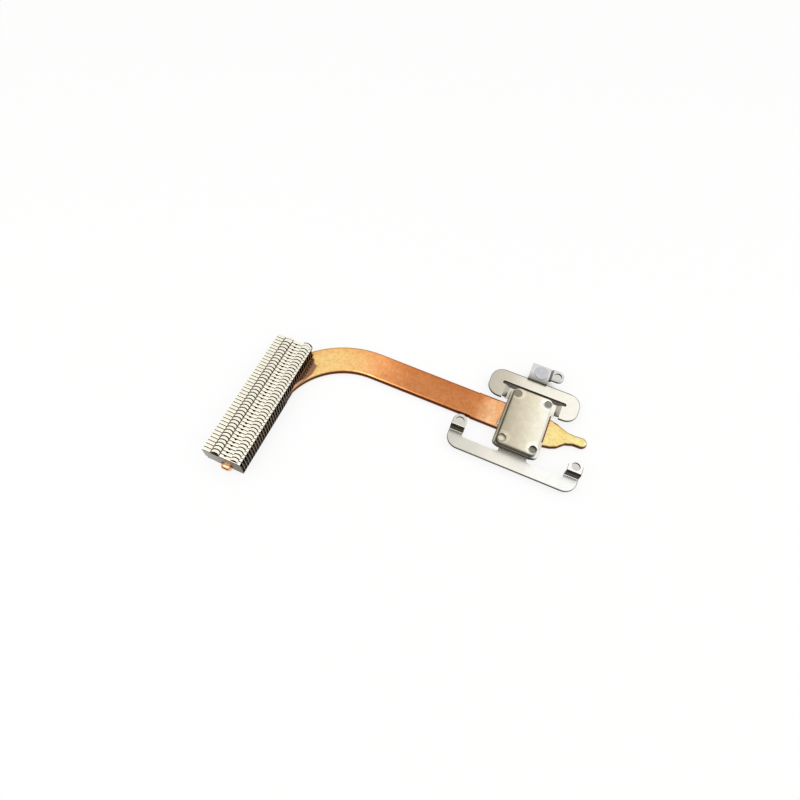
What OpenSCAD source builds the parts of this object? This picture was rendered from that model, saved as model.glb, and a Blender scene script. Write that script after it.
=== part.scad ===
// Laptop processor heatsink: a zipper fin stack on a bent flat heat pipe, and a contact plate
// riveted to two sheet steel brackets. The origin is the centre of the contact face, which
// looks up. +X runs along the brackets, away from the fins, and +Y towards the single foot.

/* [Contact plate] */
// Width of the plate that touches the chip
contact_w = 13.9; // [13:0.1:14.4]
// Length of the plate that touches the chip
contact_l = 22.8; // [22.6:0.1:24]
// Thickness of the contact plate
contact_t = 2.4; // [1.5:0.1:3]
// Bevel around the contact face
contact_bevel = 0.35; // [0.1:0.05:0.6]
// Ledge of the base plate that shows at each side of the contact plate
base_ledge = 1.1; // [0.5:0.1:1.5]
// Thickness of the base plate
base_t = 1.6; // [1:0.1:2]
// Corner radius of both plates
plate_corner_r = 1.8; // [1:0.1:2.2]

/* [Rivets] */
// Diameter of the rivet shank
rivet_d = 2.7; // [2:0.1:3]
// Width of the sunk rim around each rivet hole
rivet_rim = 0.5; // [0.2:0.1:0.6]
// Distance between the rivets across the plate
rivet_span_x = 10.96; // [10:0.02:11]
// Distance between the rivets along the plate
rivet_span_y = 18.64; // [18.2:0.02:18.8]
// Diameter of the peened head under the bracket
rivet_head_d = 3.8; // [3.2:0.1:4]
// Height of the peened head
rivet_head_h = 0.5; // [0.3:0.1:0.7]
// Depth of the two shallow rivets below the contact face
shallow_recess = 0.3; // [0.1:0.1:0.6]
// Depth of the two deep rivets below the contact face
deep_recess = 1.0; // [0.6:0.1:1.4]

/* [Heat pipe] */
// Width of the flattened pipe
pipe_w = 10.9; // [10:0.1:11]
// Thickness of the flattened pipe
pipe_t = 2.4; // [2:0.1:3]
// Offset of the pipe's centre line from the plate's centre
pipe_offset = 1.0; // [0.6:0.1:1.2]
// Extra width of the pipe where it was pressed onto the base plate
press_spread = 0.35; // [0:0.05:0.4]
// Straight run from the plate's centre to the bend
pipe_run = 56.5; // [50:0.5:70]
// Radius of the bend at the pipe's centre line
bend_r = 28.6; // [25:0.1:32]
// Width of the swaged neck at the fin end
fin_neck_w = 4.1; // [3.6:0.1:5]

/* [Fin stack] */
// Number of fins
fin_count = 39; // [30:1:39]
// Distance from one fin to the next
fin_pitch = 1.28; // [1.2:0.01:1.3]
// Width of the stack
fin_w = 13.9; // [13.6:0.1:15]
// Height of the stack
fin_h = 7.05; // [6:0.05:10]
// Thickness of the fin sheet
fin_t = 0.2; // [0.15:0.05:0.25]
// Outer radius of the fold between a fin's web and its flange
fin_fold_r = 0.35; // [0.25:0.05:0.45]
// Open line between one flange and the next fin
fin_gap = 0.16; // [0.1:0.02:0.2]
// Width of a locking tongue
lock_w = 2.8; // [2.4:0.1:2.8]
// Radius of a tongue's round tip
lock_r = 2; // [1.8:0.1:2.4]
// Radius of the far edge of the window that a tongue enters
window_r = 2.6; // [2.4:0.1:3.4]
// Reach of a tongue's tip over the next fin
lock_reach = 0.47; // [0.4:0.01:0.55]
// Open crescent in front of a tongue's tip
lock_clear = 0.38; // [0.3:0.02:0.4]
// Height that the locking tongues stand above the flanges
tongue_rise = 0.1; // [0.05:0.01:0.15]

/* [Brackets] */
// Thickness of the sheet steel
sheet_t = 0.8; // [0.6:0.1:0.9]
// Distance between the two lower feet, hole to hole
foot_span = 41; // [40:0.5:42]
// Diameter of the screw holes in the feet
foot_hole_d = 3; // [2.4:0.1:3.2]
// Height of the feet below the contact face
foot_drop = 0.9; // [0.5:0.1:1.2]
// Width of the lower bar
bar_w = 4.6; // [4:0.1:5.5]
// Length of the upper bracket
upper_l = 33; // [32:0.5:36]
// Width of the upper bracket
upper_w = 11.35; // [11.2:0.05:12]
// Step between the upper bracket's riveted strip and its ends
joggle = 1.2; // [0.9:0.1:1.5]

/* [Hidden] */
$fn = 48;
fin_names = [for (i = [1 : fin_count]) str("fin_", i < 10 ? "0" : "", i)];

// Levels of the stack, counted down from the contact face
base_top = -contact_t;
seat_z = base_top - base_t;
rest_z = seat_z - pipe_t;
foot_z = -foot_drop;

// Depth of the sunk rims
rim_depth = 0.2;

// Pipe route: a straight run along X, a quarter bend and a straight leg along Y
bend_x = -pipe_run;
bend_y = pipe_offset - bend_r;
leg_x = bend_x - bend_r;
inner_r = bend_r - pipe_w / 2;
outer_r = bend_r + pipe_w / 2;
pipe_mid_z = rest_z + pipe_t / 2;

// Fin stack: its near end is the end plate where the pipe's tip comes out
fin_x0 = leg_x - 7.75;
stack_y0 = -54.45;
notch_gap = 0.1;
min_leg = 0.35;

// Blunt closed end of the pipe past the end plate: place, and diameter of its two round corners
tip_x = leg_x + 0.3;
lip_y = stack_y0 - 0.25;
lip_d = 2.8;

// Places across a fin, measured from its left edge: both locks, the two coined grooves beside
// the left lock, and the round notch between the locks
lock_x = [3.27, 10.2];
lock_gap = 0.06;
window_h = 0.5;
end_lip = 0.32;
groove_w = 0.34;
groove_d = 0.1;
notch_x = 8.1;
notch_r = 0.62;
notch_d = 0.38;

// Lower left corner of the end plate, cut off at two angles
end_cut = [[-1, -1], [5, -1], [5, 0], [1.3, 0.9], [0, 2], [-1, 2]];

// Round and rolled rim of the last fin's right corner
corner_r = 2.4;
corner_d = 0.6;
rim_w = 0.36;
rim_h = 0.4;

eps = 0.01;

// A profile drawn in Y and Z, carried along +X for a width
module along_x(x, y, z, w) {
    translate([x, y, z]) rotate([90, 0, 90]) linear_extrude(w) children();
}

// A profile drawn in X and Z, carried along +Y for a length
module along_y(y, l) {
    translate([0, y + l, 0]) rotate([90, 0, 0]) linear_extrude(l) children();
}

// Plan outline of a plate with round corners, centred
module round_plate(w, l, r, t) {
    union() {
        translate([-w / 2 + r, -l / 2, 0]) cube([w - 2 * r, l, t]);
        translate([-w / 2, -l / 2 + r, 0]) cube([w, l - 2 * r, t]);
        for (sx = [-1, 1])
            for (sy = [-1, 1])
                translate([sx * (w / 2 - r), sy * (l / 2 - r), 0]) cylinder(r = r, h = t);
    }
}

// A plate with round corners whose top edge is bevelled
module bevelled_plate(w, l, r, t, b) {
    flat_w = w - 2 * r;
    flat_l = l - 2 * r;
    union() {
        round_plate(w, l, r, t - b);
        translate([0, 0, t - b]) {
            translate([0, flat_l / 2, 0]) rotate([90, 0, 0]) linear_extrude(flat_l)
                polygon([[-w / 2, 0], [w / 2, 0], [w / 2 - b, b], [-w / 2 + b, b]]);
            translate([-flat_w / 2, 0, 0]) rotate([90, 0, 90]) linear_extrude(flat_w)
                polygon([[-l / 2, 0], [l / 2, 0], [l / 2 - b, b], [-l / 2 + b, b]]);
            for (sx = [-1, 1])
                for (sy = [-1, 1])
                    translate([sx * flat_w / 2, sy * flat_l / 2, 0])
                        cylinder(r1 = r, r2 = r - b, h = b);
        }
    }
}

module at_rivets() {
    for (sx = [-1, 1])
        for (sy = [-1, 1])
            translate([sx * rivet_span_x / 2, sy * rivet_span_y / 2, 0]) children();
}

module rivet_holes(z, t) {
    at_rivets() translate([0, 0, z - eps]) cylinder(d = rivet_d, h = t + 2 * eps);
}

module contact_plate() {
    color("#cfc5b2") difference() {
        translate([0, 0, base_top])
            bevelled_plate(contact_w, contact_l, plate_corner_r, contact_t, contact_bevel);
        rivet_holes(base_top, contact_t);
        at_rivets() translate([0, 0, -rim_depth])
            cylinder(d1 = rivet_d, d2 = rivet_d + 2 * rivet_rim, h = rim_depth + eps);
    }
}

module base_plate() {
    color("#a8a294") difference() {
        translate([0, 0, seat_z])
            round_plate(contact_w + 2 * base_ledge, contact_l, plate_corner_r, base_t);
        rivet_holes(seat_z, base_t);
    }
}

// Rivet with its shank flush in the stack and its head peened under the bracket
module rivet(sx, sy, recess) {
    head_z = seat_z - sheet_t;
    color("#6b6862") translate([sx * rivet_span_x / 2, sy * rivet_span_y / 2, 0]) union() {
        translate([0, 0, head_z]) cylinder(d = rivet_d, h = -recess - head_z);
        translate([0, 0, head_z - rivet_head_h])
            cylinder(d1 = rivet_head_d - 0.6, d2 = rivet_head_d, h = rivet_head_h);
    }
}

// Cross-section of the flattened pipe: flat faces and full round edges
module pipe_section(w) {
    union() {
        square([w - pipe_t, pipe_t], center = true);
        for (s = [-1, 1]) translate([s * (w - pipe_t) / 2, 0]) circle(d = pipe_t);
    }
}

// A thin slice of the pipe that crosses the run along X at the given place
module run_slice(x, y, w) {
    translate([x, y, pipe_mid_z]) rotate([90, 0, 90]) linear_extrude(eps)
        pipe_section(w, $fn = 32);
}

// A thin slice of the pipe that crosses the leg along Y
module leg_slice(x, y, w) {
    translate([x, y, pipe_mid_z]) rotate([90, 0, 0]) linear_extrude(eps)
        pipe_section(w, $fn = 32);
}

// A flat round end with the pipe's round edge
module round_end(x, y, d) {
    translate([x, y, pipe_mid_z]) rotate_extrude() intersection() {
        translate([0, -pipe_t / 2]) square([d / 2, pipe_t]);
        union() {
            translate([0, -pipe_t / 2]) square([d / 2 - pipe_t / 2, pipe_t]);
            translate([d / 2 - pipe_t / 2, 0]) circle(d = pipe_t);
        }
    }
}

// The sealed tube before its fin end is pinched shut
module pipe_body() {
    // Plan of the swaged tip past the plate: distance, sideways place and width of each section
    tip_sections = [[8.6, 0, pipe_w + press_spread], [11.2, 0, 10.1], [13.2, 0, 8.2],
        [15.6, 0.8, 5], [18.2, 1.25, 4]];
    bulb = [20.65, 1.4, 4.15];
    press_start = -18;
    leg_end = bend_y - 19.4;
    neck_end = leg_end - 5.5;
    union() {
        translate([bend_x, pipe_offset, pipe_mid_z]) rotate([90, 0, 90])
            linear_extrude(tip_sections[0][0] - bend_x) pipe_section(pipe_w);
        translate([press_start, pipe_offset, pipe_mid_z]) rotate([90, 0, 90])
            linear_extrude(tip_sections[0][0] - press_start) pipe_section(pipe_w + press_spread);
        translate([bend_x, bend_y, pipe_mid_z]) rotate([0, 0, 90]) rotate_extrude(angle = 90)
            translate([bend_r, 0]) pipe_section(pipe_w);
        translate([leg_x, bend_y, pipe_mid_z]) rotate([90, 0, 0])
            linear_extrude(bend_y - leg_end) pipe_section(pipe_w);
        for (k = [0 : len(tip_sections) - 2])
            hull() {
                run_slice(tip_sections[k][0] - eps, pipe_offset + tip_sections[k][1],
                    tip_sections[k][2]);
                run_slice(tip_sections[k + 1][0], pipe_offset + tip_sections[k + 1][1],
                    tip_sections[k + 1][2]);
            }
        hull() {
            run_slice(tip_sections[4][0] - eps, pipe_offset + tip_sections[4][1],
                tip_sections[4][2]);
            round_end(bulb[0], pipe_offset + bulb[1], bulb[2], $fn = 32);
        }
        hull() {
            leg_slice(leg_x, leg_end + eps, pipe_w);
            leg_slice(tip_x, neck_end, fin_neck_w);
        }
        hull() {
            leg_slice(tip_x, neck_end + eps, fin_neck_w);
            for (s = [-1, 1])
                round_end(tip_x + s * (fin_neck_w - lip_d) / 2, lip_y, lip_d, $fn = 32);
        }
    }
}

module heat_pipe() {
    seam_l = 3.2;
    seam_d = 0.5;
    seam_h = 0.25;
    seam_rise = 0.5;
    color("#e0925c") difference() {
        pipe_body();
        translate([tip_x - seam_l / 2, lip_y - lip_d / 2 - eps, pipe_mid_z + seam_rise])
            cube([seam_l, seam_d, seam_h]);
    }
}

// Edges of the pipe where a fin at the given place crosses it
function pipe_edge(y, r) = bend_x - (y > bend_y ? sqrt(max(r * r - pow(y - bend_y, 2), 0)) : r);
function fin_y(i) = stack_y0 + i * fin_pitch;
function notch_left(i) = (i == 0 ? tip_x - fin_neck_w / 2 : pipe_edge(fin_y(i), outer_r))
    - notch_gap - fin_x0;
function notch_right(i) = (i == 0 ? tip_x + fin_neck_w / 2
    : pipe_edge(fin_y(i + 1), inner_r)) + notch_gap - fin_x0;
function right_leg(i) = fin_w - notch_right(i);

// Plan of a lock: a band across the fold that ends in a shallow round tip
module lock_plan(x, w, start, tip, r) {
    intersection() {
        translate([x, start]) square([w, tip - start]);
        translate([x + w / 2, tip - r]) circle(r = r);
    }
}

// Window that a tongue enters, from the given line to its round far edge
module window_plan(x, start) {
    lock_plan(x, lock_w, start, lock_reach + lock_clear, window_r);
}

// Centre of the round at the last fin's right corner
corner_x = lock_x[1] + lock_w / 2;
corner_y = fin_pitch + corner_d - corner_r;

// What the round takes off the last fin's flange
module last_corner() {
    difference() {
        translate([corner_x, fin_t, fin_h - window_h]) cube([fin_w, fin_pitch, 2 * window_h]);
        translate([corner_x, corner_y, 0]) cylinder(r = corner_r, h = 2 * fin_h);
    }
}

// Rim rolled down around the last fin's right lock and corner
module last_rim() {
    rim_y0 = 0.4;
    translate([0, 0, fin_h - fin_t - rim_h]) intersection() {
        translate([corner_x, corner_y, 0]) difference() {
            cylinder(r = corner_r + rim_w, h = rim_h + eps);
            translate([0, 0, -eps]) cylinder(r = corner_r - rim_w, h = rim_h + 3 * eps);
        }
        translate([lock_x[1], rim_y0, 0])
            cube([fin_w - lock_x[1], 2 * fin_pitch, rim_h + eps]);
    }
}

// Section of a fin across its fold: web, quarter bend and flange
module fin_section(flange_l) {
    union() {
        square([fin_t, fin_h - fin_fold_r]);
        translate([fin_fold_r, fin_h - fin_t]) square([flange_l - fin_fold_r, fin_t]);
        translate([fin_fold_r, fin_h - fin_fold_r]) intersection() {
            difference() {
                circle(r = fin_fold_r);
                circle(r = fin_fold_r - fin_t);
            }
            translate([-fin_fold_r, 0]) square(fin_fold_r);
        }
    }
}

// Flange and web of a fin with all that is punched or coined into them
module punched_fin(i, nl, nr) {
    flange_l = fin_pitch - fin_gap;
    difference() {
        along_x(0, 0, 0, fin_w) fin_section(flange_l);
        translate([nl, -eps, -eps]) cube([nr - nl + eps, fin_t + 2 * eps, pipe_t + eps]);
        for (k = [0, 1])
            translate([0, 0, fin_h - window_h]) linear_extrude(window_h + eps)
                window_plan(lock_x[k], i == 0 && k == 1 ? end_lip : -eps);
        for (x = [lock_x[0] - groove_w, lock_x[0] + lock_w])
            translate([x, -eps, fin_h - groove_d]) cube([groove_w, fin_pitch, groove_d + eps]);
        translate([notch_x, flange_l + notch_r - notch_d, fin_h - 2 * fin_t])
            cylinder(r = notch_r, h = 3 * fin_t);
        if (i == 0) along_y(-eps, fin_t + 2 * eps) polygon(end_cut);
        if (i == fin_count - 1) last_corner();
    }
}

// One fin: a web notched over the pipe, a top flange with two locking tongues, a collar that
// sits on the pipe and a narrow foot flange at each side of it
module fin(i) {
    flange_l = fin_pitch - fin_gap;
    nl = notch_left(i);
    nr = right_leg(i) > min_leg ? notch_right(i) : fin_w;
    foot_x0 = i == 0 ? end_cut[1][0] : 0;
    color("#e6e1cc") translate([fin_x0, fin_y(i), rest_z]) union() {
        punched_fin(i, nl, nr);
        translate([0, 0, fin_h - fin_t + tongue_rise]) linear_extrude(fin_t) difference() {
            for (x = lock_x)
                lock_plan(x + lock_gap, lock_w - 2 * lock_gap, fin_t, fin_pitch + lock_reach,
                    lock_r);
            for (x = lock_x) window_plan(x, 0);
        }
        translate([nl, 0, pipe_t]) cube([nr - nl, flange_l, fin_t]);
        translate([foot_x0, 0, 0]) cube([nl - foot_x0, flange_l, fin_t]);
        if (nr < fin_w) translate([nr, 0, 0]) cube([fin_w - nr, flange_l, fin_t]);
        if (i == fin_count - 1) last_rim();
    }
}

// Sheet profile that steps up by a rise behind a vertical riser, run along +Y from the origin.
// The lower flat ends and the upper flat starts one bend before and after the riser.
module riser_profile(rise, back, front) {
    r = 0.3;
    union() {
        translate([-back, 0]) square([back - r, sheet_t]);
        translate([-r, sheet_t + r]) intersection() {
            difference() {
                circle(r = r + sheet_t);
                circle(r = r);
            }
            translate([0, -2 * sheet_t]) square([2 * sheet_t, 2 * sheet_t]);
        }
        translate([0, sheet_t + r - eps]) square([sheet_t, rise - sheet_t - 2 * r + 2 * eps]);
        translate([sheet_t + r, rise - r]) intersection() {
            difference() {
                circle(r = r + sheet_t);
                circle(r = r);
            }
            translate([-2 * sheet_t, 0]) square([2 * sheet_t, 2 * sheet_t]);
        }
        translate([sheet_t + r - eps, rise]) square([front - r - sheet_t + eps, sheet_t]);
    }
}

// Plan values of the lower bracket
arm_w = 4.9;
arm_riser_y = -11.55;
lower_foot_y = -9;
lower_edge_y = -17.65;
lower_corner_r = 4.5;
neck_w = 10;
neck_fillet = 0.9;
arm_fillet = 0.6;
rivet_pad_w = 14.4;
rivet_pad_y0 = -10.8;
rivet_pad_y1 = -7.2;

module lower_outline() {
    outer_x = foot_span / 2 + arm_w / 2;
    arm_inner_x = foot_span / 2 - arm_w / 2;
    bar_top = lower_edge_y + bar_w;
    corner_y = lower_edge_y + lower_corner_r;
    difference() {
        union() {
            translate([-outer_x + lower_corner_r, lower_edge_y])
                square([2 * outer_x - 2 * lower_corner_r, bar_w]);
            for (s = [-1, 1]) {
                translate([s * (outer_x - lower_corner_r), corner_y]) intersection() {
                    circle(r = lower_corner_r);
                    translate([-lower_corner_r, -lower_corner_r])
                        square([2 * lower_corner_r, lower_corner_r + eps]);
                }
                translate([s * foot_span / 2 - arm_w / 2, corner_y])
                    square([arm_w, arm_riser_y - corner_y]);
            }
            translate([-neck_w / 2 - neck_fillet, bar_top - eps])
                square([neck_w + 2 * neck_fillet, neck_fillet + eps]);
            for (s = [-1, 1])
                translate([s * (arm_inner_x - arm_fillet / 2) - arm_fillet / 2, bar_top - eps])
                    square([arm_fillet + eps, arm_fillet + eps]);
            translate([-neck_w / 2, bar_top]) square([neck_w, rivet_pad_y1 - bar_top]);
            translate([-rivet_pad_w / 2, rivet_pad_y0])
                square([rivet_pad_w, rivet_pad_y1 - rivet_pad_y0]);
        }
        for (s = [-1, 1])
            translate([s * (neck_w / 2 + neck_fillet), bar_top + neck_fillet])
                circle(r = neck_fillet);
        for (s = [-1, 1])
            translate([s * (arm_inner_x - arm_fillet), bar_top + arm_fillet])
                circle(r = arm_fillet);
    }
}

// A foot seen from above: straight sides from the riser and a round end about its hole
module foot_plan(l, r) {
    union() {
        translate([-r, -l]) square([2 * r, l]);
        circle(r = r);
    }
}

module lower_bracket() {
    sheet_z = seat_z - sheet_t;
    rise = foot_z - seat_z;
    bend_len = 0.3;
    color("#c9c6bb") difference() {
        union() {
            translate([0, 0, sheet_z]) linear_extrude(sheet_t) difference() {
                lower_outline();
                for (s = [-1, 1])
                    translate([s * foot_span / 2 - arm_w, arm_riser_y - bend_len])
                        square([2 * arm_w, 2]);
            }
            for (s = [-1, 1]) intersection() {
                along_x(s * foot_span / 2 - arm_w / 2, arm_riser_y, sheet_z, arm_w)
                    riser_profile(rise, 0.5, 6);
                translate([s * foot_span / 2, lower_foot_y, sheet_z - 1]) linear_extrude(6)
                    foot_plan(4, arm_w / 2);
            }
        }
        rivet_holes(sheet_z, sheet_t);
        for (s = [-1, 1])
            translate([s * foot_span / 2, lower_foot_y, foot_z - sheet_t - 0.5])
                cylinder(d = foot_hole_d, h = sheet_t + 1);
    }
}

// Plan values of the upper bracket
upper_y0 = 7.1;
upper_corner_r = 4.5;
slot_y = 13.25;
slot_w = 1.4;
slot_l = 23.7;
strip_y0 = 8.1;
strip_flat = 9.1;
ramp_l = 1.4;
tab_x0 = -4.05;
tab_x1 = 3.05;
tab_y1 = 25;
tab_riser_y = 18.1;
tab_rise = 1.0;
upper_foot = [5.7, 22.2];
upper_foot_r = 2.35;

// Folded profile of the riveted strip: flat under the plate, ramps up to both ends
module strip_profile() {
    x1 = strip_flat;
    x2 = strip_flat + ramp_l;
    polygon([[-x2, joggle], [-x1, 0], [x1, 0], [x2, joggle],
        [x2, joggle + sheet_t], [x1 - 0.3, sheet_t], [-x1 + 0.3, sheet_t],
        [-x2, joggle + sheet_t]]);
}

module upper_bracket() {
    low_z = seat_z - sheet_t;
    end_z = low_z + joggle;
    tab_z = end_z + tab_rise;
    mid_y = upper_y0 + upper_w / 2;
    strip_y1 = slot_y - slot_w / 2;
    strip_x = strip_flat + ramp_l;
    foot_x0 = 3.0;
    color("#c4beae") difference() {
        union() {
            // flat ends and top bar
            translate([0, 0, end_z]) difference() {
                translate([0, mid_y, 0]) round_plate(upper_l, upper_w, upper_corner_r, sheet_t);
                translate([-slot_l / 2 + slot_w / 2, strip_y1, -eps])
                    cube([slot_l - slot_w, slot_w, sheet_t + 2 * eps]);
                for (s = [-1, 1])
                    translate([s * (slot_l - slot_w) / 2, slot_y, -eps])
                        cylinder(d = slot_w, h = sheet_t + 2 * eps);
                translate([-strip_x, upper_y0 - eps, -eps])
                    cube([2 * strip_x, strip_y1 - upper_y0 + 2 * eps, sheet_t + 2 * eps]);
            }
            // riveted strip
            translate([0, strip_y1, low_z]) rotate([90, 0, 0])
                linear_extrude(strip_y1 - strip_y0) strip_profile();
            // tab behind the top bar
            along_x(tab_x0, tab_riser_y, end_z, tab_x1 - tab_x0)
                polygon([[-0.4, 0], [0.9, 0], [0.9, tab_rise], [tab_y1 - tab_riser_y, tab_rise],
                    [tab_y1 - tab_riser_y, tab_rise + sheet_t], [0.15, tab_rise + sheet_t],
                    [0, tab_rise + sheet_t - 0.15], [0, sheet_t], [-0.4, sheet_t]]);
            // ramp and foot beside the tab
            intersection() {
                translate([0, upper_foot[1] + upper_foot_r + 1, 0]) rotate([90, 0, 0])
                    linear_extrude(2 * upper_foot_r + 2)
                    polygon([[foot_x0 - 0.1, tab_z], [foot_x0 + 0.3, tab_z],
                        [foot_x0 + 1.1, foot_z - sheet_t], [9, foot_z - sheet_t],
                        [9, foot_z], [foot_x0 + 0.8, foot_z], [foot_x0, tab_z + sheet_t],
                        [foot_x0 - 0.1, tab_z + sheet_t]]);
                translate([upper_foot[0], upper_foot[1], tab_z - 1]) rotate([0, 0, -90])
                    linear_extrude(4) foot_plan(4, upper_foot_r);
            }
        }
        rivet_holes(low_z, sheet_t);
        translate([upper_foot[0], upper_foot[1], foot_z - sheet_t - 0.5])
            cylinder(d = foot_hole_d, h = sheet_t + 1);
    }
}

// Thin round pad on the tab, cut straight at its right side
module tab_pad() {
    pad_z = seat_z + joggle + tab_rise;
    color("#c6c7ca") translate([-0.1, 21.8, pad_z]) intersection() {
        cylinder(r = 2.6, h = 0.2);
        translate([-3, -3, 0]) cube([5.3, 6, 0.2]);
    }
}

// Bead of solder on the pipe, against the base plate's edge
module solder_bead() {
    x1 = -contact_w / 2 - base_ledge;
    r = 0.75;
    color("#b9b8b2") intersection() {
        union() {
            for (y = [-3.0, -1.9]) translate([x1, y, seat_z]) sphere(r = r);
            translate([x1, -1.9, seat_z]) rotate([90, 0, 0]) cylinder(r = r, h = 1.1);
        }
        translate([x1 - 2, -5, seat_z]) cube([2, 6, 2]);
    }
}

for (i = [0 : fin_count - 1])
    fin(i);
heat_pipe();
contact_plate();
base_plate();
lower_bracket();
upper_bracket();
rivet(-1, 1, shallow_recess);  // rivet_upper_left
rivet(1, 1, shallow_recess);  // rivet_upper_right
rivet(-1, -1, deep_recess);  // rivet_lower_left
rivet(1, -1, deep_recess);  // rivet_lower_right
tab_pad();
solder_bead();
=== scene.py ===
import math

import bpy
from mathutils import Euler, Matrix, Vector


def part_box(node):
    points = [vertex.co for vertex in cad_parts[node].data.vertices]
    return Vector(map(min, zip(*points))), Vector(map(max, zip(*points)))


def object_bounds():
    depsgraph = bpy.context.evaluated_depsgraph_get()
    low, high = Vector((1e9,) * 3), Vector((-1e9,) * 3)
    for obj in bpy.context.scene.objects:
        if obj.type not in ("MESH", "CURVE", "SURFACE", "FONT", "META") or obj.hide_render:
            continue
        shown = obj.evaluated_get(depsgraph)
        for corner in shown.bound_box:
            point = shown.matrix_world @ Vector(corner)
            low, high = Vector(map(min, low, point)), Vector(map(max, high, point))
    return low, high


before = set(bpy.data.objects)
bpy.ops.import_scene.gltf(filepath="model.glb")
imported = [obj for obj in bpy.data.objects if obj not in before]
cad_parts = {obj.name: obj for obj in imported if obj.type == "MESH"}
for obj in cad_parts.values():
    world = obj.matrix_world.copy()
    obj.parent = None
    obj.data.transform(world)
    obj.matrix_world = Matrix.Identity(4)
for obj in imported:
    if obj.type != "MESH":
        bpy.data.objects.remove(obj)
cad_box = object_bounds()


# The table and the lamps. The part lies on a pale table with its contact face up, under one
# large soft lamp, a smaller one and an even white room, as in a small product studio. Places and
# lengths are in millimetres in the part's own frame, and MM turns them to metres.
MM = 0.001


def hue(code):
    """The linear colour of an sRGB hex code: each channel goes through the sRGB curve."""
    channels = [int(code[i:i + 2], 16) / 255 for i in (1, 3, 5)]
    return [c / 12.92 if c <= 0.04045 else ((c + 0.055) / 1.055) ** 2.4 for c in channels] + [1.0]


def add(tree, kind, inputs=(), stops=(), **settings):
    """Adds a node: settings are its own properties, inputs maps a socket to a value or to
    another node's output, and stops are the places and colours of a colour ramp."""
    made = tree.nodes.new("ShaderNode" + kind)
    for name, value in settings.items():
        setattr(made, name, value)
    for key, value in dict(inputs).items():
        if isinstance(value, bpy.types.NodeSocket):
            tree.links.new(value, made.inputs[key])
        else:
            made.inputs[key].default_value = value
    for place, colour in stops:
        ends = made.color_ramp.elements
        first, last = (place, colour) == stops[0], (place, colour) == stops[-1]
        stop = ends[0] if first else ends[-1] if last else ends.new(place)
        stop.position = place
        stop.color = colour
    return made


table_z = cad_box[0].z
table_half = 600 * MM

table_mesh = bpy.data.meshes.new("table")
table_corners = [(-table_half, -table_half), (table_half, -table_half),
                 (table_half, table_half), (-table_half, table_half)]
table_mesh.from_pydata([(x, y, table_z) for x, y in table_corners], [], [(0, 1, 2, 3)])
table = bpy.data.objects.new("table", table_mesh)
bpy.context.collection.objects.link(table)

# White matte card. The eye, and the metal's reflections, see an even white, and a small matte
# share of it keeps the part's soft shadow.
matte_share = 0.18

card = bpy.data.materials.new("white_card")
card.use_nodes = True
tree = card.node_tree
tree.nodes.clear()
where = add(tree, "TexCoord")
spot = where.outputs["Object"]
spot_axes = add(tree, "SeparateXYZ", {0: spot})

# It is darkened by painted shade in three places where the photograph shows grey: close under the
# upper bracket, under the fin stack, and in a disc behind each screw hole, along the photograph's
# line of sight.
# Painted shade close under the upper bracket, darker where less of the room reaches the table.
bracket_from_y = 11
closeness = add(tree, "AmbientOcclusion", {"Distance": 8 * MM})
painted_crevice_shade = add(tree, "ValToRGB", {0: closeness.outputs["AO"]}, stops=[
    (0.0, hue("#2e281f")), (0.36, hue("#4b443a")), (0.46, hue("#a9a69c")), (0.58, hue("#ffffff"))])
by_bracket = add(tree, "MapRange", {"Value": spot_axes.outputs["Y"],
                                    "From Min": bracket_from_y * MM,
                                    "From Max": (bracket_from_y + 1) * MM})
under_bracket = add(tree, "Mix", {"Factor": by_bracket.outputs[0], "A": hue("#ffffff"),
                                  "B": painted_crevice_shade.outputs[0]}, data_type="RGBA")

# A near-black painted shade fills the table under the fin stack.
stack_inset = 0.15 * MM
foot_flange = 1.2 * MM
stack_low, stack_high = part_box("fin_01")
stack_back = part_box("fin_39")[0].y + foot_flange
beneath = 1.0
for axis, low, high in (("X", stack_low.x, stack_high.x), ("Y", stack_low.y, stack_back)):
    within = add(tree, "Math", {0: spot_axes.outputs[axis], 1: (low + high) / 2,
                                2: (high - low) / 2 - stack_inset}, operation="COMPARE")
    beneath = add(tree, "Math", {0: within.outputs[0], 1: beneath},
                  operation="MULTIPLY").outputs[0]
under_stack = add(tree, "Mix", {"Factor": beneath, "A": under_bracket.outputs["Result"],
                                "B": hue("#1d1913")}, data_type="RGBA")

# A grey painted shade disc on the table behind each screw hole.
hole_shade_spots = ((-20.7, -6.3), (21.5, -6.3), (6.3, 25.8))
nearest = 1.0
for hole_x, hole_y in hole_shade_spots:
    gap = add(tree, "VectorMath", {0: spot, 1: (hole_x * MM, hole_y * MM, table_z)},
              operation="DISTANCE")
    nearest = add(tree, "Math", {0: gap.outputs["Value"], 1: nearest},
                  operation="MINIMUM").outputs[0]
off_hole_shade = add(tree, "MapRange", {"Value": nearest, "From Min": 1.7 * MM, "From Max": 2.3 * MM})
card_shade_tone = add(tree, "Mix", {"Factor": off_hole_shade.outputs[0], "A": hue("#d3d1c6"),
                              "B": under_stack.outputs["Result"]}, data_type="RGBA")

ray = add(tree, "LightPath")
straight = add(tree, "Math", {0: ray.outputs["Is Camera Ray"], 1: ray.outputs["Is Glossy Ray"]},
               operation="MAXIMUM")
shown = add(tree, "Math", {0: straight.outputs[0], 1: ray.outputs["Is Transmission Ray"]},
            operation="MAXIMUM")
glow_share = add(tree, "Math", {0: shown.outputs[0], 1: 1 - matte_share}, operation="MULTIPLY")
matte = add(tree, "BsdfDiffuse", {"Color": hue("#ffffff")})
glow = add(tree, "Emission", {"Color": card_shade_tone.outputs["Result"], "Strength": 1.0})
surface = add(tree, "MixShader", {0: glow_share.outputs[0], 1: matte.outputs[0],
                                  2: glow.outputs[0]})
add(tree, "OutputMaterial", {"Surface": surface.outputs[0]})
table_mesh.materials.append(card)

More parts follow.
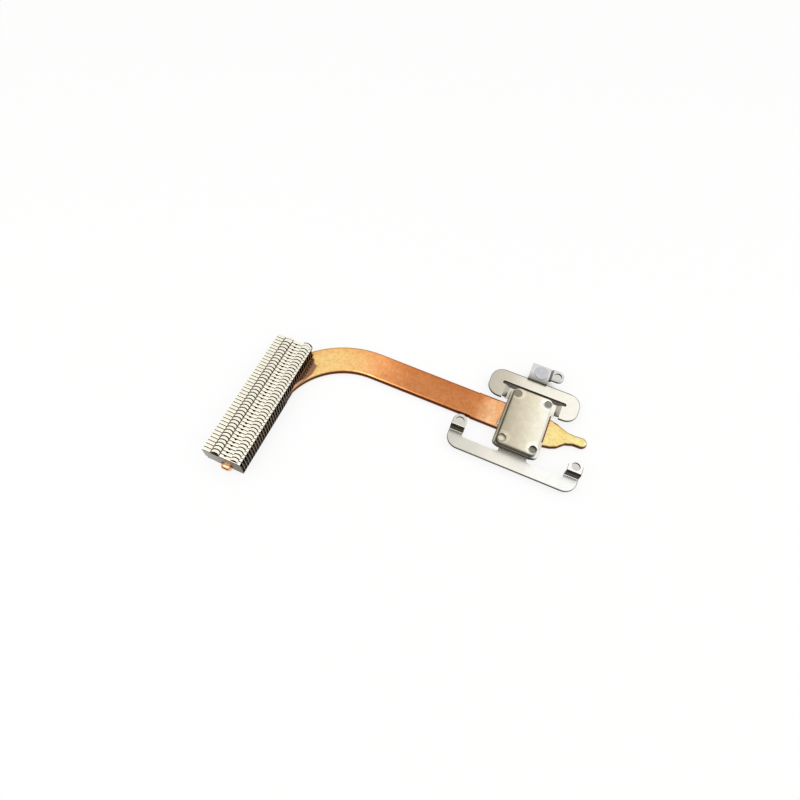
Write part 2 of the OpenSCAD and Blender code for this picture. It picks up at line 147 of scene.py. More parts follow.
# The room: white to the eye, and to the metal grey below and brighter overhead.
world = bpy.data.worlds.new("studio")
bpy.context.scene.world = world
world.use_nodes = True
tree = world.node_tree
tree.nodes.clear()
ray = add(tree, "LightPath")
compass = add(tree, "TexCoord")
height = add(tree, "SeparateXYZ", {0: compass.outputs["Generated"]})
walls = add(tree, "ValToRGB", {0: height.outputs["Z"]}, stops=[
    (0.0, hue("#8c8a86")), (0.25, hue("#a5a4a1")), (0.55, hue("#f4f3ef")), (1.0, hue("#ffffff"))])
room_light = add(tree, "Background", {"Color": walls.outputs[0], "Strength": 1.0})
backdrop = add(tree, "Background", {"Color": hue("#ffffff"), "Strength": 1.0})
room = add(tree, "MixShader", {0: ray.outputs["Is Camera Ray"], 1: room_light.outputs[0],
                               2: backdrop.outputs[0]})
add(tree, "OutputWorld", {"Surface": room.outputs[0]})


def softbox(name, place, aim, width, watts):
    """A square area lamp at a place, turned to an aim; place, aim and width in millimetres."""
    lamp = bpy.data.lights.new(name, "AREA")
    lamp.size = width * MM
    lamp.energy = watts
    box = bpy.data.objects.new(name, lamp)
    bpy.context.collection.objects.link(box)
    back = (Vector(place) - Vector(aim)) * MM
    box.location = Vector(place) * MM
    box.rotation_euler = (math.atan2(math.hypot(back.x, back.y), back.z), 0,
                          math.atan2(back.x, -back.y))


softbox("key", place=(-160, -190, 330), aim=(-40, -10, 0), width=160, watts=0.22)
softbox("fill", place=(260, 120, 260), aim=(-20, -10, 0), width=160, watts=0.1)

# The photograph's view: from above the near side of the brackets, turned and rolled a little.
lens = bpy.data.cameras.new("camera")
lens.lens = 24.99
lens.sensor_width = 36
lens.clip_start = 10 * MM
camera = bpy.data.objects.new("camera", lens)
camera.location = Vector((-13.31, -98.33, 167.47)) * MM
camera.rotation_mode = "ZYX"
camera.rotation_euler = Euler([math.radians(a) for a in (27.578, 8.669, 21.877)], "ZYX")
bpy.context.collection.objects.link(camera)
bpy.context.scene.camera = camera
bpy.context.scene.view_settings.view_transform = "Standard"


# The heat pipe. A sealed copper tube, pressed flat to 2.4 mm, bent on a mandrel and swaged shut
# at both ends. It is soldered under the base plate and through the fins, and the heat of that
# work has coloured it.
def box_mm(node_name):
    """The lowest and the highest corner of a CAD node, in millimetres."""
    return [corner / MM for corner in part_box(node_name)]


def metal(name, roughness, bump_mm):
    """Starts a bare metal: its material, tree, Object coordinates in millimetres, shader and
    bump node."""
    made = bpy.data.materials.new(name)
    made.use_nodes = True
    tree = made.node_tree
    tree.nodes.clear()
    where = add(tree, "TexCoord")
    place = add(tree, "VectorMath", {0: where.outputs["Object"], "Scale": 1 / MM},
                operation="SCALE")
    shader = add(tree, "BsdfPrincipled", {"Metallic": 1.0, "Roughness": roughness})
    bump = add(tree, "Bump", {"Distance": bump_mm * MM, "Strength": 1.0})
    tree.links.new(bump.outputs[0], shader.inputs["Normal"])
    add(tree, "OutputMaterial", {"Surface": shader.outputs[0]})
    return made, tree, place.outputs[0], shader, bump


def dress(node_name, material):
    """Gives a node of the frame its material."""
    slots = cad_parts[node_name].data.materials
    slots.clear()
    slots.append(material)


pipe_w = 10.9
pipe_y = 1.0
bend_r = 28.6
pipe_low = box_mm("heat_pipe")[0]
bend_x = pipe_low.x + pipe_w / 2 + bend_r
bend_y = pipe_y - bend_r
stack_side = box_mm("fin_01")[1].x

# Bare drawn copper, satin from the press. It gives warm soft reflections, and its colour along the
# pipe is partly heat colour and partly painted reflection: gold at the bend and at the thin end
# and brown between them. It has small burnt flecks.
copper, tree, place, shader, bump = metal("drawn_copper_tube", roughness=0.22,
                                            bump_mm=0.004)
axes = add(tree, "SeparateXYZ", {0: place})

# Heat colours and painted reflection run along X from the fins to the thin end, and their borders
# wander.
heat_from, heat_to = -77, 28
wander_mm, waves_per_mm = 6.0, 0.35
wander = add(tree, "TexNoise", {"Vector": place, "Scale": waves_per_mm, "Detail": 3.0})
wandered = add(tree, "Math", {0: wander.outputs["Fac"], 1: wander_mm, 2: axes.outputs["X"]},
               operation="MULTIPLY_ADD")
along = add(tree, "MapRange", {"Value": wandered.outputs[0], "From Min": heat_from,
                               "From Max": heat_to})
heat_and_sheen_tint = add(tree, "ValToRGB", {0: along.outputs[0]}, stops=[
    (0.0, hue("#e3ab74")), (0.03, hue("#fbd48e")), (0.07, hue("#ffd88f")),
    (0.13, hue("#ffd18a")), (0.19, hue("#ffc181")), (0.25, hue("#fbae70")), (0.3, hue("#e1975f")),
    (0.36, hue("#d68b56")), (0.42, hue("#cd8651")), (0.55, hue("#cc834f")), (0.6, hue("#d48c55")),
    (0.65, hue("#ffca99")), (0.68, hue("#fbbb82")), (0.85, hue("#ffe9a5")),
    (0.885, hue("#ffe497")), (0.92, hue("#fff0a6")), (1.0, hue("#fff6b2"))])

# The outer edge, furthest from the bend's centre, is browner.
past_bend = add(tree, "Math", {0: bend_x, 1: axes.outputs["X"]}, operation="SUBTRACT")
on_arc = add(tree, "Math", {0: past_bend.outputs[0], 1: 0.0}, operation="MAXIMUM")
off_bend = add(tree, "Math", {0: axes.outputs["Y"], 1: -bend_y}, operation="ADD")
arm = add(tree, "CombineXYZ", {0: on_arc.outputs[0], 1: off_bend.outputs[0]})
radius = add(tree, "VectorMath", {0: arm.outputs[0]}, operation="LENGTH")
outward = add(tree, "MapRange", {"Value": radius.outputs["Value"], "From Min": bend_r + 0.9,
                                 "From Max": bend_r + 4.9, "To Max": 0.75})
browned = add(tree, "VectorMath", {0: heat_and_sheen_tint.outputs[0], 1: (0.95, 0.76, 0.62)},
              operation="MULTIPLY")
run_tint = add(tree, "Mix", {"Factor": outward.outputs[0], "A": heat_and_sheen_tint.outputs[0],
                             "B": browned.outputs[0]}, data_type="RGBA")

# The tip at the end plate has stayed plain copper.
tip_y = -50
run_part = add(tree, "MapRange", {"Value": axes.outputs["Y"], "From Min": tip_y,
                                  "From Max": tip_y + 10})
tint = add(tree, "Mix", {"Factor": run_part.outputs[0], "A": hue("#fbc598"),
                         "B": run_tint.outputs["Result"]}, data_type="RGBA")

# Burnt flecks a millimetre across, over clouds of 6 mm.
flecks_per_mm, clouds_per_mm = 1.1, 0.16
grain = add(tree, "TexNoise", {"Vector": place, "Scale": flecks_per_mm, "Detail": 5.0,
                               "Roughness": 0.65})
cloud = add(tree, "TexNoise", {"Vector": place, "Scale": clouds_per_mm, "Detail": 3.0,
                               "Roughness": 0.5})
grain_gain = add(tree, "MapRange", {"Value": grain.outputs["Fac"], "From Min": 0.3,
                                    "From Max": 0.7, "To Min": 0.93, "To Max": 1.07})
cloud_gain = add(tree, "MapRange", {"Value": cloud.outputs["Fac"], "From Min": 0.3,
                                    "From Max": 0.7, "To Min": 0.94, "To Max": 1.06})
gain = add(tree, "Math", {0: grain_gain.outputs[0], 1: cloud_gain.outputs[0]},
           operation="MULTIPLY")
fleck = add(tree, "MapRange", {"Value": grain.outputs["Fac"], "From Min": 0.38,
                               "From Max": 0.52, "To Min": 0.85, "To Max": 0})
burnt = add(tree, "VectorMath", {0: tint.outputs["Result"], 1: (0.94, 0.82, 0.68)},
            operation="MULTIPLY")
flecked = add(tree, "Mix", {"Factor": fleck.outputs[0], "A": tint.outputs["Result"],
                            "B": burnt.outputs[0]}, data_type="RGBA")
toned = add(tree, "VectorMath", {0: flecked.outputs["Result"], "Scale": gain.outputs[0]},
            operation="SCALE")

# A dark wedge of painted shadow and painted reflection of the fin stack lies on the copper beside
# the stack, as in the photograph. Two slanted lines and one along Y bound it, and it is paler
# right by the fins.
reach = add(tree, "MapRange", {"Value": axes.outputs["X"], "From Min": stack_side + 3.05,
                               "From Max": stack_side + 3.75})
far_slant = add(tree, "Math", {0: axes.outputs["X"], 1: 0.5, 2: axes.outputs["Y"]},
                operation="MULTIPLY_ADD")
far_line = add(tree, "MapRange", {"Value": far_slant.outputs[0], "From Min": -46.6,
                                  "From Max": -46.0})
near_slant = add(tree, "Math", {0: axes.outputs["Y"], 1: -0.42, 2: axes.outputs["X"]},
                 operation="MULTIPLY_ADD")
near_line = add(tree, "MapRange", {"Value": near_slant.outputs[0], "From Min": -70.6,
                                   "From Max": -70.1})
at_tip = add(tree, "MapRange", {"Value": axes.outputs["Y"], "From Min": tip_y,
                                "From Max": tip_y + 1, "To Min": 1, "To Max": 0})
off_fin_shade = reach.outputs[0]
for bound in (far_line, near_line, at_tip):
    off_fin_shade = add(tree, "Math", {0: off_fin_shade, 1: bound.outputs[0]},
                    operation="MAXIMUM").outputs[0]
from_fins = add(tree, "MapRange", {"Value": axes.outputs["X"], "From Min": stack_side + 0.05,
                                   "From Max": stack_side + 2.05})
fin_shade_wedge = add(tree, "Mix", {"Factor": from_fins.outputs[0], "A": hue("#e6b08c"),
                          "B": hue("#996f56")}, data_type="RGBA")
upper_face = add(tree, "Mix", {"Factor": off_fin_shade, "A": fin_shade_wedge.outputs["Result"],
                               "B": toned.outputs[0]}, data_type="RGBA")

# The round sides get dark brown painted shade. At the tip, only what faces down does.
shape = add(tree, "NewGeometry")
facing = add(tree, "SeparateXYZ", {0: shape.outputs["Normal"]})
sideways = add(tree, "Math", {0: facing.outputs["Y"]}, operation="ABSOLUTE")
lean = add(tree, "Math", {0: sideways.outputs[0], 1: -0.35, 2: facing.outputs["Z"]},
           operation="MULTIPLY_ADD")
up = add(tree, "MapRange", {"Value": lean.outputs[0], "From Min": 0.3, "From Max": 0.75})
not_down = add(tree, "MapRange", {"Value": facing.outputs["Z"], "From Min": -0.5,
                                  "From Max": 0.1})
tip_up = add(tree, "Math", {0: not_down.outputs[0], 1: at_tip.outputs[0]}, operation="MULTIPLY")
unshaded = add(tree, "Math", {0: up.outputs[0], 1: tip_up.outputs[0]}, operation="MAXIMUM")
sided = add(tree, "Mix", {"Factor": unshaded.outputs[0], "A": hue("#5c2e1b"),
                          "B": upper_face.outputs["Result"]}, data_type="RGBA")

# The line where the tip was pinched shut is brown.
seam_z, seam_half = -4.57, 0.14
behind_seam = add(tree, "MapRange", {"Value": axes.outputs["Y"], "From Min": pipe_low.y + 0.25,
                                     "From Max": pipe_low.y + 0.4})
on_seam = add(tree, "Math", {0: axes.outputs["Z"], 1: seam_z, 2: seam_half}, operation="COMPARE")
above_seam = add(tree, "MapRange", {"Value": on_seam.outputs[0], "To Min": 1, "To Max": 0})
off_seam = add(tree, "Math", {0: behind_seam.outputs[0], 1: above_seam.outputs[0]},
               operation="MAXIMUM")
skin = add(tree, "Mix", {"Factor": off_seam.outputs[0], "A": hue("#7c4a36"),
                         "B": sided.outputs["Result"]}, data_type="RGBA")
polish = add(tree, "MapRange", {"Value": axes.outputs["X"], "From Min": stack_side + 2.95,
                                "From Max": stack_side + 12.95, "To Min": 0.16, "To Max": 0.24})
tree.links.new(skin.outputs["Result"], shader.inputs["Base Color"])
tree.links.new(polish.outputs[0], shader.inputs["Roughness"])
tree.links.new(grain.outputs["Fac"], bump.inputs["Height"])
dress("heat_pipe", copper)


# The fins. Each is a strip of aluminium sheet 0.2 mm thick, pierced, coined and folded in one
# stroke. Its tongues zip into the next fin, and the stack is soldered on the pipe.
stack_left, stack_front = box_mm("fin_01")[0].xy
tongue_rise = 0.1
flange_z = box_mm("fin_01")[1].z - tongue_rise

# Rolled aluminium sheet. Its top flanges are bright and nearly white, with fine rolling lines
# along the strip, and below them the colour is painted shade: the webs are dark because they see
# only each other.
aluminium, tree, place, shader, bump = metal("stamped_aluminium_sheet", roughness=0.38,
                                               bump_mm=0.005)
axes = add(tree, "SeparateXYZ", {0: place})
lines_per_mm = (0.4, 6.0, 6.0)
rolled = add(tree, "VectorMath", {0: place, 1: lines_per_mm}, operation="MULTIPLY")
grain = add(tree, "TexNoise", {"Vector": rolled.outputs[0], "Scale": 1.0, "Detail": 3.0})
bright = add(tree, "ValToRGB", {0: grain.outputs["Fac"]}, stops=[
    (0.25, hue("#f4ebd3")), (0.5, hue("#fffaea")), (0.75, hue("#fffef4"))])
web_shade = add(tree, "ValToRGB", {0: grain.outputs["Fac"]}, stops=[
    (0.3, hue("#2a2318")), (0.7, hue("#4b4030"))])

# Painted shade below the flanges: the webs, which pale downwards, their cut edges along the
# stack's side, left paler, and the end plate's face, which darkens from left to right.
downwards = add(tree, "MapRange", {"Value": axes.outputs["Z"], "From Min": -0.4,
                                   "From Max": -1.4})
webs = add(tree, "Mix", {"Factor": downwards.outputs[0], "A": web_shade.outputs[0],
                         "B": hue("#5f5848")}, data_type="RGBA")
cut_edge = add(tree, "MapRange", {"Value": axes.outputs["X"], "From Min": stack_side - 0.07,
                                  "From Max": stack_side - 0.02})
edged = add(tree, "Mix", {"Factor": cut_edge.outputs[0], "A": webs.outputs["Result"],
                          "B": hue("#8d8572")}, data_type="RGBA")
across = add(tree, "MapRange", {"Value": axes.outputs["X"], "From Min": stack_left,
                                "From Max": stack_side - 0.05})
end_face_shade = add(tree, "ValToRGB", {0: across.outputs[0]}, stops=[
    (0.0, hue("#a39e91")), (0.4, hue("#8e8a80")), (0.75, hue("#6b665c")), (1.0, hue("#5f5a50"))])
behind_face = add(tree, "MapRange", {"Value": axes.outputs["Y"], "From Min": stack_front + 0.01,
                                     "From Max": stack_front + 0.07})
dull = add(tree, "Mix", {"Factor": behind_face.outputs[0], "A": end_face_shade.outputs[0],
                         "B": edged.outputs["Result"]}, data_type="RGBA")

# Upward faces: painted shade below the flange and brown painted shade in the coined grooves,
# bright on top.
in_groove = add(tree, "MapRange", {"Value": axes.outputs["Z"], "From Min": flange_z - 0.15,
                                   "From Max": flange_z - 0.11})
groove_shade = add(tree, "Mix", {"Factor": in_groove.outputs[0], "A": dull.outputs["Result"],
                           "B": hue("#857860")}, data_type="RGBA")
on_flange = add(tree, "MapRange", {"Value": axes.outputs["Z"], "From Min": flange_z - 0.08,
                                   "From Max": flange_z - 0.02})
lit_flange = add(tree, "Mix", {"Factor": on_flange.outputs[0], "A": groove_shade.outputs["Result"],
                          "B": bright.outputs[0]}, data_type="RGBA")
shape = add(tree, "NewGeometry")
facing = add(tree, "SeparateXYZ", {0: shape.outputs["Normal"]})
up = add(tree, "MapRange", {"Value": facing.outputs["Z"], "From Min": 0.5, "From Max": 0.8})
skin = add(tree, "Mix", {"Factor": up.outputs[0], "A": dull.outputs["Result"],
                         "B": lit_flange.outputs["Result"]}, data_type="RGBA")
tree.links.new(skin.outputs["Result"], shader.inputs["Base Color"])
tree.links.new(grain.outputs["Fac"], bump.inputs["Height"])
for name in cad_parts:
    if name.startswith("fin_"):
        dress(name, aluminium)


# The contact plate and the base plate under it. Both are pressed from copper and nickel plated,
# and held together by the four rivets. The contact face is lapped flat for the chip.
ledge_left, ledge_right = (corner.x for corner in box_mm("base_plate"))
plates_z = box_mm("base_plate")[0].z
rivet_low, rivet_high = box_mm("rivet_upper_right")
rivet_x, rivet_y = ((rivet_low + rivet_high) / 2).xy

# Lapped nickel plate: a soft grey-gold mirror, cloudy from handling. Painted reflection makes it
# darker at the left and nearly white at the right, and painted shade and highlight lines mark the
# left ledge.
nickel, tree, place, shader, bump = metal("lapped_nickel_plate", roughness=0.34,
                                            bump_mm=0.003)
axes = add(tree, "SeparateXYZ", {0: place})
across = add(tree, "MapRange", {"Value": axes.outputs["X"], "From Min": ledge_left,
                                "From Max": ledge_right})
painted_light_across = add(tree, "ValToRGB", {0: across.outputs[0]}, stops=[
    (0.0, hue("#4f4a3d")), (0.012, hue("#8b8474")), (0.035, hue("#c4bba6")),
    (0.06, hue("#6b6555")), (0.068, hue("#3d382d")), (0.078, hue("#b9b09b")),
    (0.16, hue("#c6bda6")), (0.31, hue("#d8cdb8")), (0.5, hue("#e6dcc5")), (0.69, hue("#f5eed9")),
    (0.84, hue("#fffbea")), (0.935, hue("#fff9ea")), (1.0, hue("#e6dfd0"))])

# Brown painted shade lies on the right ledge where the pipe passes under it.
off_pipe = add(tree, "Math", {0: axes.outputs["Y"], 1: pipe_y}, operation="SUBTRACT")
from_pipe = add(tree, "Math", {0: off_pipe.outputs[0]}, operation="ABSOLUTE")
over_pipe = add(tree, "MapRange", {"Value": from_pipe.outputs[0], "From Min": pipe_w / 2 - 0.15,
                                   "From Max": pipe_w / 2 + 0.35, "To Min": 1, "To Max": 0})
on_ledge = add(tree, "MapRange", {"Value": axes.outputs["X"], "From Min": ledge_right - 0.7,
                                  "From Max": ledge_right - 0.3})
ledge_shade_mask = add(tree, "Math", {0: over_pipe.outputs[0], 1: on_ledge.outputs[0]},
              operation="MULTIPLY")
ledge_shaded = add(tree, "Mix", {"Factor": ledge_shade_mask.outputs[0], "A": painted_light_across.outputs[0],
                              "B": hue("#6e4530")}, data_type="RGBA")

# Brightness: brighter away from the near edge, clouds of 2 mm, and a painted highlight ring around
# each rivet inside a duller one.
rise = add(tree, "MapRange", {"Value": axes.outputs["Y"], "From Min": -10, "From Max": 10,
                              "To Min": 0.92, "To Max": 1.08})
clouds_per_mm = 0.4
cloud = add(tree, "TexNoise", {"Vector": place, "Scale": clouds_per_mm, "Detail": 6.0,
                               "Roughness": 0.65})
cloud_gain = add(tree, "MapRange", {"Value": cloud.outputs["Fac"], "From Min": 0.3,
                                    "From Max": 0.7, "To Min": 0.9, "To Max": 1.08})
quarter = add(tree, "VectorMath", {0: place}, operation="ABSOLUTE")
in_plan = add(tree, "VectorMath", {0: quarter.outputs[0], 1: (1, 1, 0)}, operation="MULTIPLY")
to_rivet = add(tree, "VectorMath", {0: in_plan.outputs[0], 1: (rivet_x, rivet_y, 0)},
               operation="DISTANCE")
ring_at = add(tree, "MapRange", {"Value": to_rivet.outputs["Value"], "From Min": 1.3,
                                 "From Max": 3.3})
rivet_highlight = add(tree, "ValToRGB", {0: ring_at.outputs[0]}, stops=[
    (0.0, hue("#d0d0d0")), (0.25, hue("#f0f0f0")), (0.45, hue("#fcfcfc")), (0.75, hue("#e4e4e4")),
    (1.0, hue("#e0e0e0"))])
ring_gain = 1.34
gain = add(tree, "Math", {0: rise.outputs[0], 1: cloud_gain.outputs[0]}, operation="MULTIPLY")
ringed = add(tree, "Math", {0: gain.outputs[0], 1: rivet_highlight.outputs[0]}, operation="MULTIPLY")
level = add(tree, "Math", {0: ringed.outputs[0], 1: ring_gain}, operation="MULTIPLY")
lapped = add(tree, "VectorMath", {0: ledge_shaded.outputs["Result"], "Scale": level.outputs[0]},
             operation="SCALE")

# Painted shade and highlight bands run up the pressed edges from the base plate, and painted shade
# darkens the holes.
from_base = add(tree, "MapRange", {"Value": axes.outputs["Z"], "From Min": plates_z,
                                   "From Max": 0})
edge_shade_bands = add(tree, "ValToRGB", {0: from_base.outputs[0]}, stops=[
    (0.0, hue("#16130e")), (0.2, hue("#2e2a21")), (0.3, hue("#4f4a3d")), (0.38, hue("#8f8878")),
    (0.41, hue("#1f1b15")), (0.6, hue("#36322a")), (0.78, hue("#5f5a4b")), (0.88, hue("#332f25")),
    (1.0, hue("#8f897c"))])
hole_r = 1.45
off_hole_shade = add(tree, "Math", {0: to_rivet.outputs["Value"], 1: hole_r}, operation="GREATER_THAN")
shaded_edges = add(tree, "Mix", {"Factor": off_hole_shade.outputs[0], "A": hue("#221e17"),
                          "B": edge_shade_bands.outputs[0]}, data_type="RGBA")
shape = add(tree, "NewGeometry")
facing = add(tree, "SeparateXYZ", {0: shape.outputs["Normal"]})
up = add(tree, "MapRange", {"Value": facing.outputs["Z"], "From Min": 0.2, "From Max": 0.6})
skin = add(tree, "Mix", {"Factor": up.outputs[0], "A": shaded_edges.outputs["Result"],
                         "B": lapped.outputs[0]}, data_type="RGBA")
scratches_per_mm = 5.0
scratch = add(tree, "TexNoise", {"Vector": place, "Scale": scratches_per_mm, "Detail": 2.0})
tree.links.new(skin.outputs["Result"], shader.inputs["Base Color"])
tree.links.new(scratch.outputs["Fac"], bump.inputs["Height"])
dress("contact_plate", nickel)
dress("base_plate", nickel)


# The two brackets. Each is punched and folded from one sheet of zinc plated steel 0.8 mm thick
# and riveted under the base plate. Three feet take the screws that press the plate on the chip.
lower_low, lower_high = box_mm("lower_bracket")
upper_low, upper_high = box_mm("upper_bracket")
upper_w = 11.35
outline_r = 4.5
tab_y = upper_low.y + upper_w - 0.4

# Zinc plated steel: a satin cool grey that goes to white on the right as painted light, with edges
# and folds darkened by painted shade.
zinc, tree, place, shader, bump = metal("zinc_plated_steel", roughness=0.36, bump_mm=0.006)
axes = add(tree, "SeparateXYZ", {0: place})

# Each bracket has its own painted light along X, brighter to the right, and the upper bracket's
# tab has painted shade along Y, darker near the bar.
across = add(tree, "MapRange", {"Value": axes.outputs["X"], "From Min": -23, "From Max": 23})
lower_tint = add(tree, "ValToRGB", {0: across.outputs[0]}, stops=[
    (0.0, hue("#dad7cf")), (0.24, hue("#e2dfd4")), (0.35, hue("#f5f1e6")), (0.46, hue("#fbf8ec")),
    (0.57, hue("#faf7ed")), (0.68, hue("#fffefa")), (1.0, hue("#fffffd"))])
upper_tint = add(tree, "ValToRGB", {0: across.outputs[0]}, stops=[
    (0.14, hue("#cbc4b6")), (0.22, hue("#d2cabb")), (0.29, hue("#d7d0c0")), (0.39, hue("#f2eadb")),
    (0.5, hue("#fbf7ea")), (0.62, hue("#fefbec")), (0.85, hue("#fffdf4"))])
on_upper = add(tree, "MapRange", {"Value": axes.outputs["Y"], "From Min": -1, "From Max": 1})
bars = add(tree, "Mix", {"Factor": on_upper.outputs[0], "A": lower_tint.outputs[0],
                         "B": upper_tint.outputs[0]}, data_type="RGBA")
outwards = add(tree, "MapRange", {"Value": axes.outputs["Y"], "From Min": 18,
                                  "From Max": upper_high.y})
tab_shade = add(tree, "ValToRGB", {0: outwards.outputs[0]}, stops=[
    (0.0, hue("#96958f")), (0.22, hue("#bfbeba")), (0.5, hue("#e4e3e1")), (1.0, hue("#e2e1df"))])
on_tab = add(tree, "MapRange", {"Value": axes.outputs["Y"], "From Min": tab_y,
                                "From Max": tab_y + 0.1})
tint = add(tree, "Mix", {"Factor": on_tab.outputs[0], "A": bars.outputs["Result"],
                         "B": tab_shade.outputs[0]}, data_type="RGBA")
clouds_per_mm = 0.3
cloud = add(tree, "TexNoise", {"Vector": place, "Scale": clouds_per_mm, "Detail": 4.0,
                               "Roughness": 0.6})
cloud_gain = add(tree, "MapRange", {"Value": cloud.outputs["Fac"], "From Min": 0.3,
                                    "From Max": 0.7, "To Min": 0.95, "To Max": 1.03})
toned = add(tree, "VectorMath", {0: tint.outputs["Result"], "Scale": cloud_gain.outputs[0]},
            operation="SCALE")

# Painted shade along the rolled rim of both outlines, which are rectangles with round corners: it
# is where the distance from the rectangle through the corners' centres comes near the corner
# radius.
side_x = add(tree, "Math", {0: axes.outputs["X"]}, operation="ABSOLUTE")
rim_shade = 0.0
for on_bracket, half_l, half_w, middle_y in (
        (0.0, lower_high.x, -lower_low.y, 0.0),
        (1.0, upper_high.x, upper_w / 2, upper_low.y + upper_w / 2)):
    off_y = add(tree, "Math", {0: axes.outputs["Y"], 1: middle_y}, operation="SUBTRACT")
    side_y = add(tree, "Math", {0: off_y.outputs[0]}, operation="ABSOLUTE")
    quarter = add(tree, "CombineXYZ", {0: side_x.outputs[0], 1: side_y.outputs[0]})
    past = add(tree, "VectorMath", {0: quarter.outputs[0],
                                    1: (half_l - outline_r, half_w - outline_r, 0)},
               operation="SUBTRACT")
    beyond = add(tree, "VectorMath", {0: past.outputs[0], 1: (0, 0, 0)}, operation="MAXIMUM")
    distance = add(tree, "VectorMath", {0: beyond.outputs[0]}, operation="LENGTH")
    rim = add(tree, "MapRange", {"Value": distance.outputs["Value"],
                                 "From Min": outline_r - 0.24, "From Max": outline_r - 0.14})
    in_width = add(tree, "Math", {0: off_y.outputs[0], 1: 0.0, 2: half_w}, operation="COMPARE")
    own = add(tree, "Math", {0: on_upper.outputs[0], 1: on_bracket, 2: 0.5}, operation="COMPARE")
    within = add(tree, "Math", {0: in_width.outputs[0], 1: own.outputs[0]}, operation="MULTIPLY")
    kept = add(tree, "Math", {0: rim.outputs[0], 1: within.outputs[0]}, operation="MULTIPLY")
    rim_shade = add(tree, "Math", {0: kept.outputs[0], 1: rim_shade}, operation="MAXIMUM").outputs[0]
rim_shaded = add(tree, "Mix", {"Factor": rim_shade, "A": toned.outputs[0], "B": hue("#8f8b80")},
             data_type="RGBA")

# Ramps that face left get painted shade, most of all the tab's, and those that face right get
# painted light.
shape = add(tree, "NewGeometry")
facing = add(tree, "SeparateXYZ", {0: shape.outputs["Normal"]})
not_left = add(tree, "MapRange", {"Value": facing.outputs["X"], "From Min": -0.6,
                                  "From Max": -0.25})
left_shade_tone = add(tree, "Mix", {"Factor": on_tab.outputs[0], "A": hue("#e0dacb"),
                              "B": hue("#a09b8f")}, data_type="RGBA")
left_ramps = add(tree, "Mix", {"Factor": not_left.outputs[0], "A": left_shade_tone.outputs["Result"],
                               "B": rim_shaded.outputs["Result"]}, data_type="RGBA")
to_right = add(tree, "MapRange", {"Value": facing.outputs["X"], "From Min": 0.25,
                                  "From Max": 0.55})
ramps = add(tree, "Mix", {"Factor": to_right.outputs[0], "A": left_ramps.outputs["Result"],
                          "B": hue("#f2ecdf")}, data_type="RGBA")

# Punched edges, undersides and the risers of the two lower feet get dark painted shade.
riser_z, riser_half = -2.45, 1.42
at_riser = add(tree, "Math", {0: axes.outputs["Z"], 1: riser_z, 2: riser_half},
               operation="COMPARE")
foot_riser = add(tree, "Math", {0: at_riser.outputs[0], 1: on_upper.outputs[0]},
                 operation="SUBTRACT")
up = add(tree, "MapRange", {"Value": facing.outputs["Z"], "From Min": 0.2, "From Max": 0.6})
face = add(tree, "Math", {0: up.outputs[0], 1: foot_riser.outputs[0]}, operation="SUBTRACT",
           use_clamp=True)
skin = add(tree, "Mix", {"Factor": face.outputs[0], "A": hue("#3a3429"),
                         "B": ramps.outputs["Result"]}, data_type="RGBA")
scratches_per_mm = 6.0
scratch = add(tree, "TexNoise", {"Vector": place, "Scale": scratches_per_mm, "Detail": 2.0})
tree.links.new(skin.outputs["Result"], shader.inputs["Base Color"])
tree.links.new(scratch.outputs["Fac"], bump.inputs["Height"])
dress("lower_bracket", zinc)
dress("upper_bracket", zinc)


# The rivets. Plain steel pins, set flush in their holes from the contact side and peened under
# the brackets.

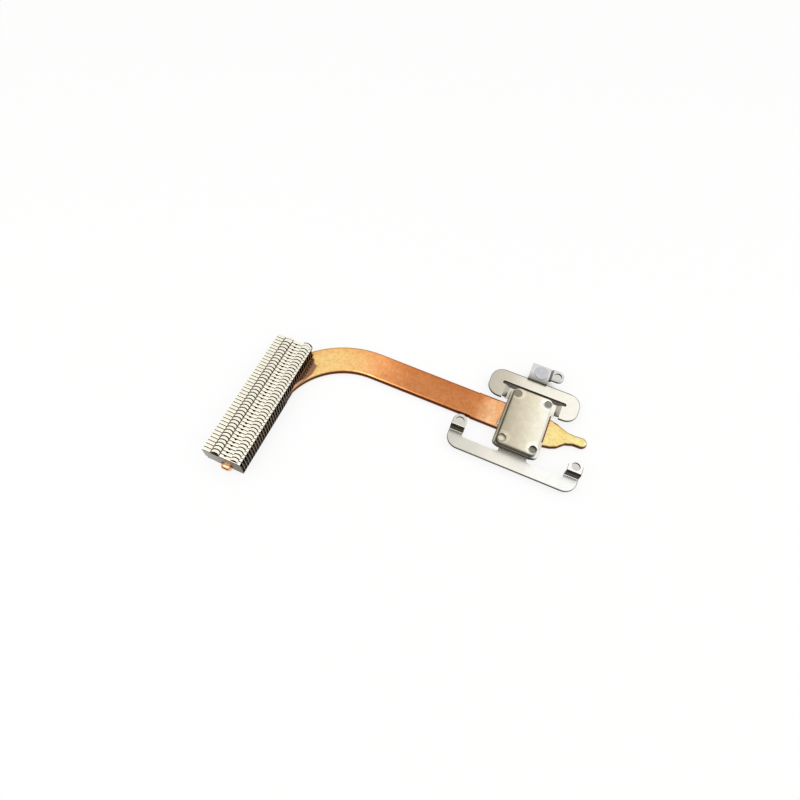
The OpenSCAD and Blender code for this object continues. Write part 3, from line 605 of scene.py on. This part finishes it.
# Plain steel with the dull, pitted face of a struck pin. Painted light makes the near left one
# bright.
steel, tree, place, shader, bump = metal("plain_rivet_steel", roughness=0.5, bump_mm=0.02)
axes = add(tree, "SeparateXYZ", {0: place})
pits_per_mm = 2.5
grain = add(tree, "TexNoise", {"Vector": place, "Scale": pits_per_mm, "Detail": 3.0})
dull = add(tree, "ValToRGB", {0: grain.outputs["Fac"]}, stops=[
    (0.3, hue("#827f77")), (0.7, hue("#a6a39b"))])
lit_tone = add(tree, "ValToRGB", {0: grain.outputs["Fac"]}, stops=[
    (0.3, hue("#ddd5c0")), (0.7, hue("#fbf3de"))])
left = add(tree, "Math", {0: axes.outputs["X"], 1: 0.0}, operation="LESS_THAN")
near = add(tree, "Math", {0: axes.outputs["Y"], 1: 0.0}, operation="LESS_THAN")
near_left = add(tree, "Math", {0: left.outputs[0], 1: near.outputs[0]}, operation="MULTIPLY")
tint = add(tree, "Mix", {"Factor": near_left.outputs[0], "A": dull.outputs[0],
                         "B": lit_tone.outputs[0]}, data_type="RGBA")
tree.links.new(tint.outputs["Result"], shader.inputs["Base Color"])
tree.links.new(grain.outputs["Fac"], bump.inputs["Height"])
for name in ("rivet_upper_left", "rivet_upper_right", "rivet_lower_left", "rivet_lower_right"):
    dress(name, steel)


# The pad on the tab: a thin disc of polyester film, die cut and stuck on. Its matte, faintly
# blue grey sets it off from the plated steel.
film = bpy.data.materials.new("polyester_film")
film.use_nodes = True
tree = film.node_tree
tree.nodes.clear()
where = add(tree, "TexCoord")
place = add(tree, "VectorMath", {0: where.outputs["Object"], "Scale": 1 / MM}, operation="SCALE")
clouds_per_mm = 0.8
grain = add(tree, "TexNoise", {"Vector": place.outputs[0], "Scale": clouds_per_mm,
                               "Detail": 2.0})
tint = add(tree, "ValToRGB", {0: grain.outputs["Fac"]}, stops=[
    (0.3, hue("#c0c1c6")), (0.7, hue("#cacbcf"))])
shader = add(tree, "BsdfPrincipled", {"Base Color": tint.outputs[0], "Roughness": 0.55})
add(tree, "OutputMaterial", {"Surface": shader.outputs[0]})
dress("tab_pad", film)


# The solder bead, squeezed out beside the base plate when the pipe was soldered. Tin solder
# freezes with a pale satin skin that is a little uneven.
solder, tree, place, shader, bump = metal("tin_solder", roughness=0.4, bump_mm=0.02)
lumps_per_mm = 3.0
grain = add(tree, "TexNoise", {"Vector": place, "Scale": lumps_per_mm, "Detail": 3.0})
tint = add(tree, "ValToRGB", {0: grain.outputs["Fac"]}, stops=[
    (0.3, hue("#bdbcb6")), (0.7, hue("#dcdbd6"))])
tree.links.new(tint.outputs[0], shader.inputs["Base Color"])
tree.links.new(grain.outputs["Fac"], bump.inputs["Height"])
dress("solder_bead", solder)
